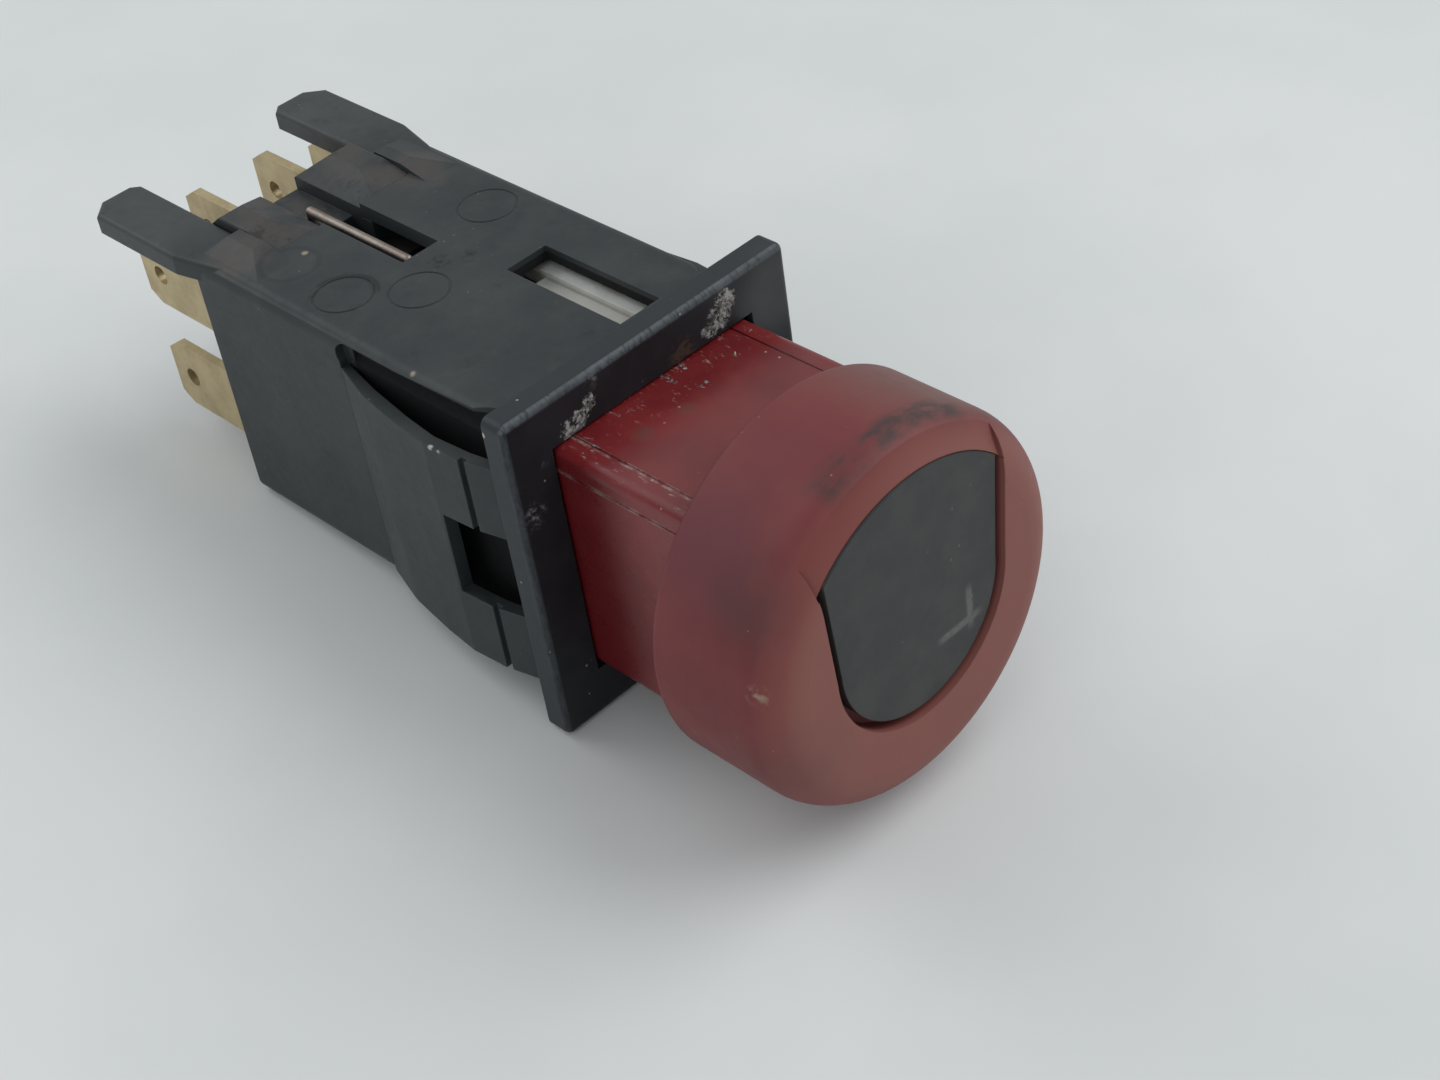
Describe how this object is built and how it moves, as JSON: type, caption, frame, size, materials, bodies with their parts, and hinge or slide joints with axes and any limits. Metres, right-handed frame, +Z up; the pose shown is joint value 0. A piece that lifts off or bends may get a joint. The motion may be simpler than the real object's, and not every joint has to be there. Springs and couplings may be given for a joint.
{
  "type": "emergency stop button",
  "caption": "Latching push-button emergency stop switch with a round mushroom head on a square stem, a square bezel, a snap-in housing and blade terminals.",
  "frame": {"origin": "on the button's axis, in the plane of the bezel's rear face, which is the panel's front face", "axes": "+X to the right seen from the front, +Y back through the panel towards the terminals, +Z up; the head faces -Y"},
  "size_m": [0.0296, 0.0788, 0.0296],
  "materials": {
    "black_shell": "satin moulded nylon, dusty",
    "black_bezel": "satin moulded plastic, scuffed edges",
    "black_block": "moulded thermoset",
    "red_stem": "glossy red, lightly scratched",
    "red_head": "faded matte red, grimy round the edge",
    "charcoal_plate": "fine matte",
    "white_slider": "acetal, waxy",
    "brass_blade": "dull, handled",
    "copper_strip": "bronze strip",
    "silver_contact": "silver alloy",
    "spring_steel": "spring wire",
    "lamp_glass": "clear",
    "lamp_base": "lamp cap"
  },
  "bodies": {
    "housing": {"housing": "black_shell", "bezel_frame": "black_bezel", "terminal_block": "black_block", "fixed_contact_rivets": "silver_contact", "return_spring": "spring_steel", "lamp_holder": "lamp_base", "lamp_cap": "lamp_base", "lamp_bulb": "lamp_glass", "lamp_contact_right": "copper_strip", "lamp_contact_left": "copper_strip", "terminal_left_outer_upper": "brass_blade", "terminal_left_outer_lower": "brass_blade", "terminal_left_inner_upper": "brass_blade", "terminal_left_inner_lower": "brass_blade", "terminal_right_outer_upper": "brass_blade", "terminal_right_outer_lower": "brass_blade", "terminal_right_inner_upper": "brass_blade", "terminal_right_inner_lower": "brass_blade"},
    "button": {"stem": "red_stem", "head": "red_head", "inset_plate": "charcoal_plate", "slider": "white_slider", "right_contact_bridge": "copper_strip", "left_contact_bridge": "copper_strip", "lower_contact_bridge": "copper_strip", "right_contact_spring": "spring_steel", "left_contact_spring": "spring_steel", "lower_contact_spring": "spring_steel", "moving_contact_rivets": "silver_contact"},
    "latch_pin": {"latch_pin": "spring_steel"},
    "left_wing": {"left_snap_wing": "black_shell"},
    "right_wing": {"right_snap_wing": "black_shell"}
  },
  "joints": [
    {"name": "button_press", "type": "slide", "parent": "housing", "child": "button", "axis": [0, 1, 0], "range_m": [0, 0.006], "stiffness_N_per_m": 1200, "springref_m": -0.004, "deforming": ["return_spring"]},
    {"name": "latch_swing", "type": "hinge", "parent": "housing", "child": "latch_pin", "pos_m": [-0.001, 0.0365, 0.009], "axis": [0, 0, 1], "range_deg": [0, 7]},
    {"name": "left_wing_flex", "type": "hinge", "parent": "housing", "child": "left_wing", "pos_m": [-0.01095, 0.0203, 0], "axis": [0, 0, 1], "range_deg": [0, 3], "stiffness_Nm_per_rad": 2},
    {"name": "right_wing_flex", "type": "hinge", "parent": "housing", "child": "right_wing", "pos_m": [0.01095, 0.0203, 0], "axis": [0, 0, 1], "range_deg": [-3, 0], "stiffness_Nm_per_rad": 2}
  ],
  "couplings": [
    {"joint": "latch_swing", "follows": "button_press", "rad_per_m": 20.362}
  ]
}
